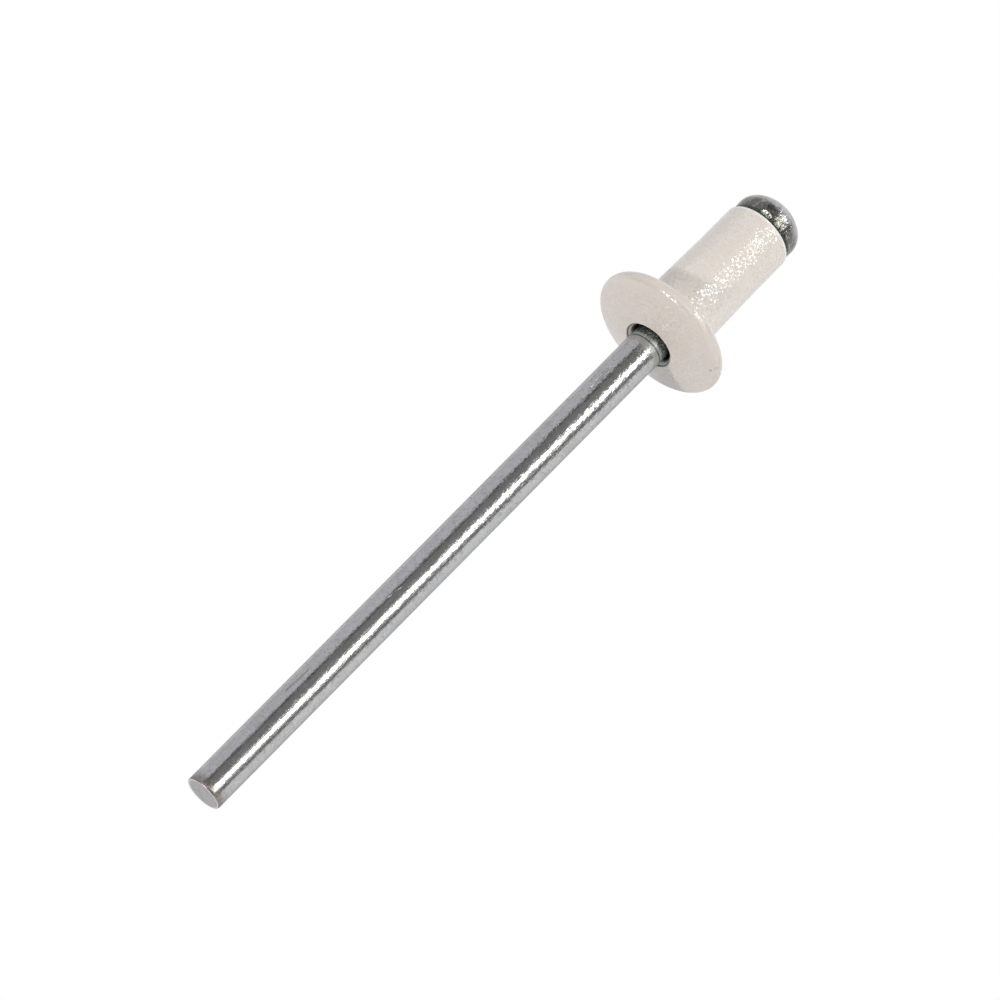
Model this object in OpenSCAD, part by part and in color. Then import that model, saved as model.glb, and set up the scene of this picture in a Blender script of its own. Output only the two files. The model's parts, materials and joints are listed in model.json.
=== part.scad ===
// Unset open-end blind rivet with a domed flange, painted body and bright steel mandrel.
// Millimetres. The rivet lies as it comes to rest: on the rim of its flange and on the tip of
// its stem, with the floor at z = 0 and the origin below the middle of its bounding box.
// Each piece is drawn upright about its own axis first, with zero at the flange's seating face
// and the open tail end of the body upwards, and is then laid down by lie_at_rest().

/* [Rivet body] */
// Length of the shank, from the flange's seating face to the open tail end
shank_l = 6.65; // [4:0.05:16]
// Diameter of the painted shank over its straight part
shank_d = 3.37; // [3.3:0.01:3.46]
// Length of the straight part, measured from the open tail end
shank_straight_l = 2.2; // [0.5:0.05:3.5]
// Diameter of the painted shank where it leaves the flange
shank_root_d = 3.55; // [3.46:0.01:3.8]
// Radius of the fillet between the shank and the flange
root_fillet_r = 0.12; // [0.05:0.01:0.3]
// Radius on the outer edge of the tail end
tail_edge_r = 0.1; // [0.04:0.01:0.25]
// Diameter of the flange
flange_d = 6.6; // [5.8:0.02:9]
// Height of the flange, from its seating face to the crown of its dome
flange_h = 1.37; // [1.15:0.01:1.9]
// Radius on the rim of the flange
flange_edge_r = 0.33; // [0.15:0.01:0.45]
// Widening of the hole at its mouth, on each side
mouth_flare = 0.18; // [0.05:0.01:0.4]
// Depth of the flared mouth
mouth_flare_h = 0.26; // [0.1:0.01:0.5]

/* [Mandrel] */
// Diameter of the mandrel's stem
stem_d = 1.8; // [1.5:0.05:2.2]
// Gap between the stem and the bore of the body, on each side
stem_clearance = 0.12; // [0.03:0.01:0.15]
// Length of the stem that stands out in front of the flange's mouth
stem_out = 31.45; // [26:0.05:45]
// Angle by which the sheared end of the stem is off square, in degrees
tip_cut = 10; // [0:1:20]
// Direction in which the sheared end is longest, in degrees from the top of the lying rivet
tip_turn = 29; // [0:1:90]
// Diameter left at the break neck, where the stem snaps when the rivet is set
neck_d = 1.35; // [1:0.05:1.45]
// Radius of the groove that makes the break neck
neck_groove_r = 0.45; // [0.3:0.05:0.8]
// Distance from the underside of the mandrel's head to the middle of the break neck
neck_to_head = 1.2; // [0.8:0.1:2.5]
// Largest diameter of the mandrel's head
head_d = 3.2; // [2.9:0.02:3.26]
// Diameter of the head next to its underside, where the upset metal has spread a little less
head_base_d = 3.17; // [2.9:0.01:3.26]
// Height of the mandrel's head, from its underside to its crown
head_h = 1.75; // [1.5:0.05:2.4]
// Height on the head's side at which it is widest and starts to round over
head_side_h = 0.62; // [0.3:0.02:0.8]
// Radius of the rounding between the head's side and its crown
head_corner_r = 0.8; // [0.4:0.05:1]
// Radius on the edge of the head's underside
head_base_edge_r = 0.14; // [0.06:0.01:0.25]

/* [Hidden] */
$fn = 96;

// Straight pieces that an arc of an outline is drawn with
arc_steps = 16;
// How far a cutting block reaches past what it cuts, as a multiple of the stem's diameter
cutter_reach = 2;

// Radii that follow from the diameters
flange_r = flange_d / 2;
shank_r = shank_d / 2;
root_r = shank_root_d / 2;
stem_r = stem_d / 2;
bore_r = stem_r + stem_clearance;
mouth_r = bore_r + mouth_flare;
neck_r = neck_d / 2;
head_r = head_d / 2;
head_base_r = head_base_d / 2;

// Radius of a crown that rises by h over the centres of its edge rounding and runs smoothly
// into that rounding of radius e, whose centres lie at a distance reach from the axis
function crown_radius(reach, h, e) = (reach * reach + h * h - e * e) / (2 * (h - e));

// Points along a circular arc about centre c, from angle a0 to angle a1
function arc(c, r, a0, a1) = [
    for (i = [0 : arc_steps])
        let (a = a0 + (a1 - a0) * i / arc_steps)
            [c[0] + r * cos(a), c[1] + r * sin(a)]
];

// Dome of the flange: its radius, its centre on the axis, and where it meets the rim's rounding
rim_centre = [flange_r - flange_edge_r, -flange_edge_r];
dome_r = crown_radius(rim_centre[0], flange_h - flange_edge_r, flange_edge_r);
dome_centre = [0, dome_r - flange_h];
dome_rim_angle = atan2(rim_centre[1] - dome_centre[1], rim_centre[0]);
dome_mouth_angle = -acos(mouth_r / dome_r);
mouth_z = dome_centre[1] + dome_r * sin(dome_mouth_angle);

// Crown of the mandrel's head: its radius, its centre, and where it meets the corner's rounding
corner_centre = [head_r - head_corner_r, shank_l + head_side_h];
crown_r = crown_radius(corner_centre[0], head_h - head_side_h, head_corner_r);
crown_centre = [0, shank_l + head_h - crown_r];
crown_corner_angle = atan2(corner_centre[1] - crown_centre[1], corner_centre[0]);

// Sheared tip: the middle of its face, and how far its longest edge reaches past that
tip_z = mouth_z - stem_out;
tip_reach = stem_r * tan(tip_cut);

// Break neck: the middle of its groove, and half the angle of the groove's arc
neck_centre = [neck_r + neck_groove_r, shank_l - neck_to_head];
neck_half_angle = acos((neck_centre[0] - stem_r) / neck_groove_r);

// Tilt of the lying rivet's axis, at which the flange's rim and the underside of the tip both
// touch the floor
rest_span = -tip_z - tip_reach * cos(tip_turn) - flange_edge_r;
rest_drop = rim_centre[0] - stem_r;
rest_tilt = atan2(rest_drop, rest_span) + asin(flange_edge_r / norm([rest_span, rest_drop]));

// Height and place of the seating face's centre, with the floor at z = 0 and the bounding box
// centred over the origin
seat_z = flange_edge_r * (1 + sin(rest_tilt)) + rim_centre[0] * cos(rest_tilt);
tip_edge_up = tip_reach * cos(rest_tilt) * cos(tip_turn) + stem_r * sin(rest_tilt);
tip_edge_side = tip_reach * cos(rest_tilt) * sin(tip_turn);
reach_to_tip = -tip_z * cos(rest_tilt) + norm([tip_edge_up, tip_edge_side]);
reach_to_head = crown_centre[1] * cos(rest_tilt) + crown_r;
seat_x = (reach_to_tip - reach_to_head) / 2;

// Lays an upright piece down in the rest position, with its tail end towards +X
module lie_at_rest() {
    translate([seat_x, 0, seat_z])
        rotate([0, 90 - rest_tilt, 0])
            children();
}

// Section of the one-piece body: straight and tapered shank, root fillet, flange rim, dome,
// flared mouth and bore
module rivet_body_section() {
    polygon(concat(
        [[bore_r, shank_l]],
        arc([shank_r - tail_edge_r, shank_l - tail_edge_r], tail_edge_r, 90, 0),
        [[shank_r, shank_l - shank_straight_l]],
        arc([root_r + root_fillet_r, root_fillet_r], root_fillet_r, 180, 270),
        arc(rim_centre, flange_edge_r, 90, dome_rim_angle),
        arc(dome_centre, dome_r, dome_rim_angle, dome_mouth_angle),
        [[bore_r, mouth_z + mouth_flare_h]]
    ));
}

// Section of the upset head: underside edge, slightly flaring side, rounded corner and low crown
module head_section() {
    base_centre = [head_base_r - head_base_edge_r, shank_l + head_base_edge_r];
    polygon(concat(
        [[0, shank_l]],
        arc(base_centre, head_base_edge_r, -90, 0),
        arc(corner_centre, head_corner_r, 0, crown_corner_angle),
        arc(crown_centre, crown_r, crown_corner_angle, 90)
    ));
}

// Block that shears the stem's end off at the tip's angle
module tip_cutter() {
    size = stem_d * cutter_reach;
    translate([0, 0, tip_z])
        rotate([0, 0, 180 + tip_turn])
            rotate([0, tip_cut, 0])
                translate([-size / 2, -size / 2, -size])
                    cube(size);
}

// Straight drawn stem with its sheared tip and its break neck, running up into the head
module stem() {
    neck_arc = arc(neck_centre, neck_groove_r, 180 + neck_half_angle, 180 - neck_half_angle);
    difference() {
        translate([0, 0, tip_z - tip_reach])
            cylinder(r = stem_r, h = shank_l + head_side_h - tip_z + tip_reach);
        tip_cutter();
        rotate_extrude()
            polygon(concat(neck_arc, [[stem_d, neck_centre[1]]]));
    }
}

// Aluminium body: a drilled shank and a domed flange, headed from one blank and painted
module rivet_body() {
    color([0.87, 0.84, 0.8])
        lie_at_rest()
            rotate_extrude()
                rivet_body_section();
}

// Steel mandrel: a drawn stem with a head upset on the end that bears on the body's tail
module mandrel() {
    color([0.62, 0.63, 0.64])
        lie_at_rest()
            union() {
                stem();
                rotate_extrude()
                    head_section();
            }
}

rivet_body();
mandrel();
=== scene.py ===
# %% [markdown]
# # An unset blind rivet
#
# A blind rivet joins sheets that can be reached from one side only. This one has two pieces:
# a painted aluminium body and a steel mandrel that runs through it. Both are turned forms, so
# this lesson builds them as rings of points round one slanting axis, and then spends most of
# its effort on the finish: paint with a fine grain, and drawn wire that mirrors the studio.

import json
import math

import bpy
from mathutils import Matrix, Vector, noise

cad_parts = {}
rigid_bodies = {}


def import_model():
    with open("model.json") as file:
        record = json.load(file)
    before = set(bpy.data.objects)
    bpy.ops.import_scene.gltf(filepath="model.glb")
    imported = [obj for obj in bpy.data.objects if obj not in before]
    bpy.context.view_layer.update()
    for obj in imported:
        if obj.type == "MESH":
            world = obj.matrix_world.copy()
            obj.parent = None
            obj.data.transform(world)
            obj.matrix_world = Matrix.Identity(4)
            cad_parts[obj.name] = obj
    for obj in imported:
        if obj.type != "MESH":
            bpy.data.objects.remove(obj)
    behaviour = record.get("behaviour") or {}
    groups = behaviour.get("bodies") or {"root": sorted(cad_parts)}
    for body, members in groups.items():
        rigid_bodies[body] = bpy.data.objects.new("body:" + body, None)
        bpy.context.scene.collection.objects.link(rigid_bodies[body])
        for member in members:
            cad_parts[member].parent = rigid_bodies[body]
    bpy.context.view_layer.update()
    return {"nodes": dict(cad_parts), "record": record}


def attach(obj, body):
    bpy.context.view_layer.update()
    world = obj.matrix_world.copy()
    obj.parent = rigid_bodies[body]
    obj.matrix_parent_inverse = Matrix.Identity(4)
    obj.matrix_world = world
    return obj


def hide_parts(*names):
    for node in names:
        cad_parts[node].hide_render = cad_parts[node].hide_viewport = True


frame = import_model()
print("nodes:", sorted(frame["nodes"]))

# %% [markdown]
# ## The rivet's own axis
#
# The rivet lies on the rim of its flange and on the tip of its stem, so its axis climbs a few
# degrees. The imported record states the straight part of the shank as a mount, with a point on
# the axis and the axis direction. Everything here is placed from those two. Distances along
# the axis are counted from the flange's seating face, in millimetres, towards the head.

# %% Axis of the rivet
MM = 0.001
SHANK_MOUNT_ALONG = 5.5

mounts = {m["name"]: m for m in frame["record"]["mounts"]}
shank_mount = mounts["shank"]
AXIS = Vector(shank_mount["axis"]).normalized()
SEAT = Vector(shank_mount["pos_m"]) - AXIS * SHANK_MOUNT_ALONG * MM
SIDE = Vector((0, 1, 0))
DOWN = SIDE.cross(AXIS)


def place(radius, along, turn):
    """Point of the rivet, in metres. turn is counted from the underside, in radians."""
    outward = DOWN * math.cos(turn) + SIDE * math.sin(turn)
    return SEAT + AXIS * along * MM + outward * radius * MM


print("seat", [round(v / MM, 3) for v in SEAT], "axis", [round(v, 4) for v in AXIS])

# %% [markdown]
# ## Turning a profile
#
# Blender's Screw or Spin tools would turn a drawn outline too. Here the rings are made in
# code, because a few of them aren't perfect circles: the paint ends in a ragged edge at the
# mouth of the hole, and the sheared tip is oblique. Each ring is a pair of functions of the
# turning angle, and a plain number stands for a true circle.

# %% Ring builder
SEGMENTS = 288
SHARP_ANGLE = math.radians(38)


def value_at(setting, turn):
    """A ring's radius or place: a number, or a function of the turning angle."""
    return setting(turn) if callable(setting) else setting


def turned_mesh(name, rings, closed=False):
    """Mesh of rings (radius, along, material index of the band that follows)."""
    points, faces, slots = [], [], []
    rows = []
    for radius, along, _ in rings:
        if radius == 0:
            rows.append([len(points)] * SEGMENTS)
            points.append(place(0, value_at(along, 0), 0))
            continue
        rows.append(range(len(points), len(points) + SEGMENTS))
        for i in range(SEGMENTS):
            turn = 2 * math.pi * i / SEGMENTS
            points.append(place(value_at(radius, turn), value_at(along, turn), turn))
    bands = len(rows) if closed else len(rows) - 1
    for k in range(bands):
        near, far = rows[k], rows[(k + 1) % len(rows)]
        for i in range(SEGMENTS):
            j = (i + 1) % SEGMENTS
            corners = [near[i], near[j], far[j], far[i]]
            faces.append(list(dict.fromkeys(corners)))
            slots.append(rings[k][2])
    mesh = bpy.data.meshes.new(name)
    mesh.from_pydata(points, [], faces)
    mesh.polygons.foreach_set("material_index", slots)
    mesh.shade_smooth()
    mesh.validate()
    piece = bpy.data.objects.new(name, mesh)
    bpy.context.scene.collection.objects.link(piece)
    return piece


def arc(centre, radius, start, end, steps):
    """Points (out, along) on an arc. 0 degrees points outwards and 90 towards the head."""
    angles = [math.radians(start + (end - start) * i / steps) for i in range(steps + 1)]
    out, along = centre
    return [(out + radius * math.cos(a), along + radius * math.sin(a)) for a in angles]


def straight(start, end, steps):
    """Points (out, along) between two points, without the two ends."""
    return [
        tuple(a + (b - a) * i / steps for a, b in zip(start, end)) for i in range(1, steps)
    ]


print("each ring has", SEGMENTS, "points")

# %% [markdown]
# ## The painted body
#
# The body is headed from one aluminium blank and drilled through: a shank that is straight
# over its last part and widens a little towards the flange, and a flange with a low dome. The
# paint is a film on the outside. It ends in a soft, ragged lip at the mouth of the hole,
# where the bare metal of a small flare begins, so the lip and the flare are modelled, and
# noise moves the lip's rings. The form is the CAD body's form.

# %% Sizes of the body
SHANK_L = 6.65
SHANK_R = 1.685
STRAIGHT_L = 2.2
ROOT_R = 1.775
FILLET_R = 0.12
TAIL_EDGE_R = 0.1
FLANGE_R = 3.3
FLANGE_H = 1.37
RIM_R = 0.33
BORE_R = 1.02
MOUTH_R = 1.2
FLARE_H = 0.26
PAINT_LIP = 0.05
LIP_H = PAINT_LIP * 0.7
LIP_WANDER = 0.022
LIP_WAVES = 2.6
LIP_SEED = 3.1
FLARE_INSIDE_LIP = 0.012
FLARE_UNDER_LIP = 0.01
PAINT_OFF_BORE = 0.06

rim_centre = (FLANGE_R - RIM_R, -RIM_R)
dome_rise = FLANGE_H - RIM_R
DOME_R = (rim_centre[0] ** 2 + dome_rise**2 - RIM_R**2) / (2 * (dome_rise - RIM_R))
DOME_CENTRE = DOME_R - FLANGE_H
rim_angle = math.degrees(math.atan2(rim_centre[1] - DOME_CENTRE, rim_centre[0]))
lip_angle = -math.degrees(math.acos((MOUTH_R + PAINT_LIP) / DOME_R))
MOUTH_Z = DOME_CENTRE - math.sqrt(DOME_R**2 - MOUTH_R**2)
print("mouth of the hole at", round(MOUTH_Z, 4), "mm, dome radius", round(DOME_R, 3), "mm")

# %% Rings of the body
PAINTED, BARE = 0, 1


def wander(turn):
    """Smooth noise round a circle, from about -LIP_WANDER to LIP_WANDER."""
    spot = Vector((math.cos(turn) * LIP_WAVES, math.sin(turn) * LIP_WAVES, LIP_SEED))
    return LIP_WANDER * noise.fractal(spot, 0.6, 2.2, 4)


def lip_ring(radius, along):
    """A ring of the paint's edge, which wanders in and out with the turning angle."""
    return lambda turn: radius + wander(turn), along


def painted(points):
    """Rings through these points, with paint on them."""
    return [(out, along, PAINTED) for out, along in points]


def bare(points):
    """Rings through these points, of bare metal."""
    return [(out, along, BARE) for out, along in points]


shank_end = (SHANK_R, SHANK_L - TAIL_EDGE_R)
shank_bend = (SHANK_R, SHANK_L - STRAIGHT_L)
shank_root = (ROOT_R, FILLET_R)
body_rings = bare([(BORE_R, SHANK_L)]) + painted(
    [(BORE_R + PAINT_OFF_BORE, SHANK_L)]
    + arc((SHANK_R - TAIL_EDGE_R, SHANK_L - TAIL_EDGE_R), TAIL_EDGE_R, 90, 0, 8)
    + straight(shank_end, shank_bend, 6)
    + [shank_bend]
    + straight(shank_bend, shank_root, 10)
    + arc((ROOT_R + FILLET_R, FILLET_R), FILLET_R, 180, 270, 8)
    + straight((ROOT_R + FILLET_R, 0), (rim_centre[0], 0), 3)
    + arc(rim_centre, RIM_R, 90, rim_angle, 28)
    + arc((0, DOME_CENTRE), DOME_R, rim_angle, lip_angle, 24)[1:]
)

LIP_STEPS = 6
for step in range(1, LIP_STEPS + 1):
    a = math.radians(90 * step / LIP_STEPS)
    out = MOUTH_R + PAINT_LIP * (1 - math.sin(a))
    along = MOUTH_Z + LIP_H * (1 - math.cos(a))
    body_rings.append((*lip_ring(out, along), PAINTED))
flare_top = (MOUTH_R - FLARE_INSIDE_LIP, MOUTH_Z + LIP_H + FLARE_UNDER_LIP)
flare_foot = (BORE_R, MOUTH_Z + FLARE_H)
body_rings.append((*lip_ring(*flare_top), BARE))
body_rings += bare(straight(flare_top, flare_foot, 4) + [flare_foot])
body_rings += bare(straight(flare_foot, (BORE_R, SHANK_L), 10))

painted_body = turned_mesh("painted_body", body_rings, closed=True)
painted_body.data.set_sharp_from_angle(angle=SHARP_ANGLE)
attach(painted_body, "root")
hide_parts("rivet_body")
print("painted_body:", len(painted_body.data.polygons), "faces")

# %% [markdown]
# ## The mandrel
#
# The mandrel is drawn steel wire. One end is sheared off a little out of square, which rolls
# the edge over where the blade came in and leaves it sharp where the wire broke away. The
# other end is upset into a round head that bears on the body's tail. The break neck is
# inside the body. The wire and the head are one piece of metal and one mesh, with a material
# of its own for the head, because upsetting changes the look of the skin.

# %% Sizes of the mandrel
STEM_R = 0.9
STEM_OUT = 31.45
TIP_Z = MOUTH_Z - STEM_OUT
TIP_CUT = math.radians(10)
TIP_LONGEST = math.radians(180 + 29)
ROLLED_SIDE = math.radians(238)
ROLL_OVER = 0.17
SHARP_EDGE = 0.025
EDGE_SLIMNESS = 0.6
STEM_STARTS = 0.6
NECK_R = 0.675
NECK_GROOVE_R = 0.45
NECK_Z = SHANK_L - 1.2
HEAD_R = 1.6
HEAD_BASE_R = 1.585
HEAD_H = 1.75
HEAD_SIDE_H = 0.62
HEAD_CORNER_R = 0.8
HEAD_BASE_EDGE_R = 0.14


def tip_plane(radius, turn):
    """How far along the axis the shear plane lies at that place."""
    return TIP_Z - math.tan(TIP_CUT) * radius * math.cos(turn - TIP_LONGEST)


def tip_rounding(turn):
    """Size of the tip's edge: rolled over on one side and sharp on the other."""
    rolled = 0.5 + 0.5 * math.cos(turn - ROLLED_SIDE)
    return SHARP_EDGE + (ROLL_OVER - SHARP_EDGE) * rolled**1.5


def tip_edge_ring(a):
    """Ring of the tip's rounded edge, from the sheared face (a = 0) to the side (a = 90).
    EDGE_SLIMNESS is its reach across the face, as a share of its reach along the wire."""
    a = math.radians(a)

    def radius(turn):
        return STEM_R - tip_rounding(turn) * EDGE_SLIMNESS * (1 - math.sin(a))

    def along(turn):
        return tip_plane(STEM_R, turn) + tip_rounding(turn) * (1 - math.cos(a))

    return radius, along


print("tip of the stem at", round(TIP_Z, 3), "mm")

# %% Rings of the mandrel
WIRE, HEAD, SHEARED = 0, 1, 2
FACE_RADII = (0.15, 0.3, 0.45, 0.6, 0.72)
# degrees round the tip's edge, from the sheared face to the wire's side
EDGE_ANGLES = (0, 12, 24, 36, 48, 60, 72, 82, 90)
SHEARED_UNTIL = 20

mandrel_rings = [(0, TIP_Z, SHEARED)]
for out in FACE_RADII:
    mandrel_rings.append((out, lambda turn, out=out: tip_plane(out, turn), SHEARED))
for a in EDGE_ANGLES:
    mandrel_rings.append((*tip_edge_ring(a), SHEARED if a < SHEARED_UNTIL else WIRE))

neck_centre = (NECK_R + NECK_GROOVE_R, NECK_Z)
neck_half = math.degrees(math.acos((neck_centre[0] - STEM_R) / NECK_GROOVE_R))
neck = arc(neck_centre, NECK_GROOVE_R, 180 + neck_half, 180 - neck_half, 12)
stem_start = (STEM_R, TIP_Z + STEM_STARTS)
wire = [stem_start] + straight(stem_start, neck[0], 40) + neck + [(STEM_R, SHANK_L)]
mandrel_rings += [(out, along, WIRE) for out, along in wire]
print("wire:", len(wire), "rings")

# %% Rings of the head
corner_centre = (HEAD_R - HEAD_CORNER_R, SHANK_L + HEAD_SIDE_H)
crown_rise = HEAD_H - HEAD_SIDE_H
CROWN_R = (corner_centre[0] ** 2 + crown_rise**2 - HEAD_CORNER_R**2) / (
    2 * (crown_rise - HEAD_CORNER_R)
)
CROWN_CENTRE = SHANK_L + HEAD_H - CROWN_R
corner_angle = math.degrees(math.atan2(corner_centre[1] - CROWN_CENTRE, corner_centre[0]))
base_centre = (HEAD_BASE_R - HEAD_BASE_EDGE_R, SHANK_L + HEAD_BASE_EDGE_R)
head = (
    straight((STEM_R, SHANK_L), (base_centre[0], SHANK_L), 3)
    + arc(base_centre, HEAD_BASE_EDGE_R, -90, 0, 8)
    + straight((HEAD_BASE_R, base_centre[1]), (HEAD_R, corner_centre[1]), 3)
    + arc(corner_centre, HEAD_CORNER_R, 0, corner_angle, 20)
    + arc((0, CROWN_CENTRE), CROWN_R, corner_angle, 88, 16)[1:]
)
mandrel_rings += [(out, along, HEAD) for out, along in head]
mandrel_rings.append((0, SHANK_L + HEAD_H, HEAD))

steel_mandrel = turned_mesh("steel_mandrel", mandrel_rings)
steel_mandrel.data.set_sharp_from_angle(angle=SHARP_ANGLE)
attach(steel_mandrel, "root")
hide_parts("mandrel")
print("steel_mandrel:", len(steel_mandrel.data.polygons), "faces")

# %% [markdown]
# ## Node helpers
#
# Every finish here is a procedural node tree. Trees can be drawn by hand in the shader editor,
# but written ones can be read and changed like a recipe. These short helpers keep them
# readable: the first adds a node and connects what it is given, and the others are the few
# kinds of node that every finish needs.

# %% Node helpers


def add(tree, kind, inputs=(), **settings):
    """Adds a node. inputs maps a socket's name or number to a value or to another socket."""
    new = tree.nodes.new(kind)
    for key, setting in settings.items():
        setattr(new, key, setting)
    for key, given in dict(inputs).items():
        socket = new.inputs[key]
        if isinstance(given, bpy.types.NodeSocket):
            tree.links.new(given, socket)
        else:
            socket.default_value = given
    return new


def maths(tree, operation, *values, clamp=False):
    """The result of one Math node."""
    new = add(tree, "ShaderNodeMath", enumerate(values), operation=operation, use_clamp=clamp)
    return new.outputs[0]


def product(tree, first, second):
    """Multiplies two values: where two masks meet, or one mask at a given strength."""
    return maths(tree, "MULTIPLY", first, second)


def vectors(tree, operation, *values, **named):
    """The result of one Vector Math node: a number or a vector, as the operation has it."""
    sockets = {**dict(enumerate(values)), **named}
    new = add(tree, "ShaderNodeVectorMath", sockets, operation=operation)
    gives_number = operation in ("DOT_PRODUCT", "LENGTH", "DISTANCE")
    return new.outputs["Value" if gives_number else "Vector"]


def ramp(tree, value, low, high, to_low=0.0, to_high=1.0):
    """A smooth step of value between low and high."""
    sockets = {"Value": value, "From Min": low, "From Max": high, "To Min": to_low,
               "To Max": to_high}
    new = add(tree, "ShaderNodeMapRange", sockets, interpolation_type="SMOOTHSTEP")
    return new.outputs["Result"]


def mix_colour(tree, factor, first, second):
    """Mixes two colours. A Mix node's sockets 0, 6 and 7 are its factor and its colours."""
    sockets = {0: factor}
    for key, colour in ((6, first), (7, second)):
        sockets[key] = colour if isinstance(colour, bpy.types.NodeSocket) else (*colour, 1)
    return add(tree, "ShaderNodeMix", sockets, data_type="RGBA").outputs[2]


print("node helpers are ready")

# %% [markdown]
# ## Node groups
#
# An effect that several finishes share, such as score lines or dust, could be copied into each
# of them. It is better built once as a node group with named sockets, and placed in each
# material with its own values. One helper opens a group, one connects its results, and one
# places it.

# %% Group helpers


def open_group(name, inputs, outputs):
    """Starts a shader node group and returns (tree, its inputs' sockets, its output node)."""
    tree = bpy.data.node_groups.new(name, "ShaderNodeTree")
    kinds = {"float": "NodeSocketFloat", "vector": "NodeSocketVector"}
    for title, kind, default in inputs:
        socket = tree.interface.new_socket(title, in_out="INPUT", socket_type=kinds[kind])
        socket.default_value = default
    for title, kind in outputs:
        tree.interface.new_socket(title, in_out="OUTPUT", socket_type=kinds[kind])
    given = tree.nodes.new("NodeGroupInput")
    result = tree.nodes.new("NodeGroupOutput")
    return tree, given.outputs, result


def give(tree, result, **sockets):
    """Connects a group's results."""
    for key, socket in sockets.items():
        tree.links.new(socket, result.inputs[key])
    print("group", tree.name + ":", len(tree.nodes), "nodes")


def placed(tree, group, **inputs):
    """Places a node group with its own values and returns its outputs."""
    return add(tree, "ShaderNodeGroup", inputs, node_tree=group).outputs


print("group helpers are ready")

# %% [markdown]
# ## Effect: the rivet's own coordinates
#
# The marks of drawing, shearing and upsetting follow the rivet's axis, not the world's. This
# group turns object coordinates into millimetres across and along the axis, and gives the
# distance from the axis and the turning angle. A UV map could carry them too, but here they
# follow exactly from the axis. The other groups stand on this one.

# %% Rivet coordinates group
tree, given, result = open_group(
    "rivet coordinates",
    [],
    [("Local", "vector"), ("Along", "float"), ("Out", "float"), ("Turn", "float")],
)
spot = add(tree, "ShaderNodeTexCoord").outputs["Object"]
from_seat = vectors(tree, "SUBTRACT", spot, tuple(SEAT))


def component(direction):
    """Millimetres of the place along one of the rivet's directions."""
    return vectors(tree, "DOT_PRODUCT", from_seat, tuple(direction / MM))


down, side, along = component(DOWN), component(SIDE), component(AXIS)
local = add(tree, "ShaderNodeCombineXYZ", {0: down, 1: side, 2: along}).outputs[0]
across = add(tree, "ShaderNodeCombineXYZ", {0: down, 1: side}).outputs[0]
out = vectors(tree, "LENGTH", across)
give(tree, result, Local=local, Along=along, Out=out, Turn=maths(tree, "ARCTAN2", side, down))
rivet_coordinates = tree

# %% [markdown]
# ## Effect: drawn streaks
#
# A drawn wire is scored along its length. A wave texture gives lines too, but they are all
# alike. Noise that is stretched along the axis gives uneven ones: fast round the wire, slow
# along it. Width is the spacing of the lines and Length how far one runs, in millimetres.

# %% Drawn streaks group
tree, given, result = open_group(
    "drawn streaks",
    [("Local", "vector", (0, 0, 0)), ("Width", "float", 0.1), ("Length", "float", 4.0),
     ("Seed", "float", 0.0)],
    [("Height", "float")],
)
per_width = maths(tree, "DIVIDE", 1.0, given["Width"])
per_length = maths(tree, "DIVIDE", 1.0, given["Length"])
scales = add(tree, "ShaderNodeCombineXYZ", {0: per_width, 1: per_width, 2: per_length})
stretched = vectors(tree, "MULTIPLY", given["Local"], scales.outputs[0])
lines = add(tree, "ShaderNodeTexNoise", {"Vector": stretched, "W": given["Seed"],
            "Scale": 1.0, "Detail": 3.0, "Roughness": 0.6}, noise_dimensions="4D")
give(tree, result, Height=lines.outputs["Fac"])
drawn_streaks = tree

# %% [markdown]
# ## Effect: blotches
#
# Paint varies in tint, bare metal stains, and a sheared face tears. All three are soft
# patches with a limit. They could be painted on an image, but noise of a given size in
# millimetres, cut between two levels, stays sharp however near the camera is. Warp bends the
# patches' outlines.

# %% Blotches group
tree, given, result = open_group(
    "blotches",
    [("Local", "vector", (0, 0, 0)), ("Size", "float", 0.5), ("From", "float", 0.45),
     ("To", "float", 0.6), ("Seed", "float", 0.0), ("Warp", "float", 0.0),
     ("Detail", "float", 4.0)],
    [("Mask", "float"), ("Height", "float")],
)
per_size = maths(tree, "DIVIDE", 1.0, given["Size"])
patches = add(tree, "ShaderNodeTexNoise", {"Vector": given["Local"], "W": given["Seed"],
              "Scale": per_size, "Detail": given["Detail"], "Roughness": 0.55,
              "Distortion": given["Warp"]}, noise_dimensions="4D")
mask = ramp(tree, patches.outputs["Fac"], given["From"], given["To"])
give(tree, result, Mask=mask, Height=patches.outputs["Fac"])
blotches = tree

# %% [markdown]
# ## Effect: specks
#
# Small dark grains lie in the paint, and small pits in the head. Noise gives no separate
# dots, but a Voronoi texture gives one centre to each cell. Only the cells whose random
# colour is low enough get a speck.

# %% Specks group
tree, given, result = open_group(
    "specks",
    [("Local", "vector", (0, 0, 0)), ("Spacing", "float", 0.5), ("Radius", "float", 0.05),
     ("Share", "float", 0.3)],
    [("Mask", "float")],
)
per_spacing = maths(tree, "DIVIDE", 1.0, given["Spacing"])
cells = add(tree, "ShaderNodeTexVoronoi", {"Vector": given["Local"], "Scale": per_spacing})
reach = maths(tree, "DIVIDE", given["Radius"], given["Spacing"])
inner = product(tree, reach, 0.4)
near = ramp(tree, cells.outputs["Distance"], inner, reach, 1.0, 0.0)
chosen = add(tree, "ShaderNodeSeparateColor", {0: cells.outputs["Color"]}).outputs[0]
kept = maths(tree, "LESS_THAN", chosen, given["Share"])
give(tree, result, Mask=product(tree, near, kept))
specks = tree

# %% [markdown]
# ## Effect: facets
#
# A grainy film and a rolled wire break a highlight into small spots with hard edges. Smooth
# noise blurs it instead. Here a Voronoi texture cuts the surface into cells, and each cell
# tilts the normal by its own random amount. Size is a cell's width in millimetres, Length
# stretches the cells along the axis, and Tilt is about the tangent of the largest tilt.

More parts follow.
